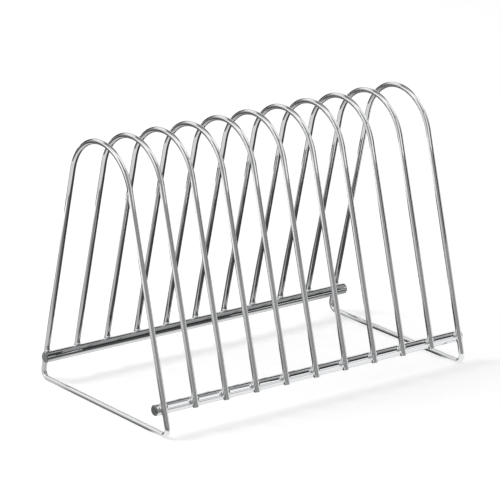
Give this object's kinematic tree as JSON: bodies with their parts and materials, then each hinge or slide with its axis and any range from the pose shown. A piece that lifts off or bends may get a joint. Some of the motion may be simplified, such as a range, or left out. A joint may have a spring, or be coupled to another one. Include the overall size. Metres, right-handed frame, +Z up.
{
  "type": "record storage rack",
  "caption": "Free-standing chromed wire rack: a row of arched wires welded across two long round rails, with slots that hold records upright.",
  "frame": {"origin": "middle of the rack's footprint, on the surface it stands on", "axes": "+X along the rails towards the right end, +Y from front to rear, +Z up"},
  "size_m": [0.208, 0.1214, 0.15],
  "materials": {
    "wire_chrome": "bright chrome plating on round steel wire",
    "rail_chrome": "bright chrome plating on solid round steel bar",
    "weld_metal": "chrome plated over the weld, slightly less smooth"
  },
  "bodies": {
    "root": {"end_frame_left": "wire_chrome", "end_frame_right": "wire_chrome", "hoop_2": "wire_chrome", "hoop_3": "wire_chrome", "hoop_4": "wire_chrome", "hoop_5": "wire_chrome", "hoop_6": "wire_chrome", "hoop_7": "wire_chrome", "hoop_8": "wire_chrome", "hoop_9": "wire_chrome", "hoop_10": "wire_chrome", "front_rail": "rail_chrome", "rear_rail": "rail_chrome", "front_rail_welds": "weld_metal", "rear_rail_welds": "weld_metal"}
  },
  "joints": []
}
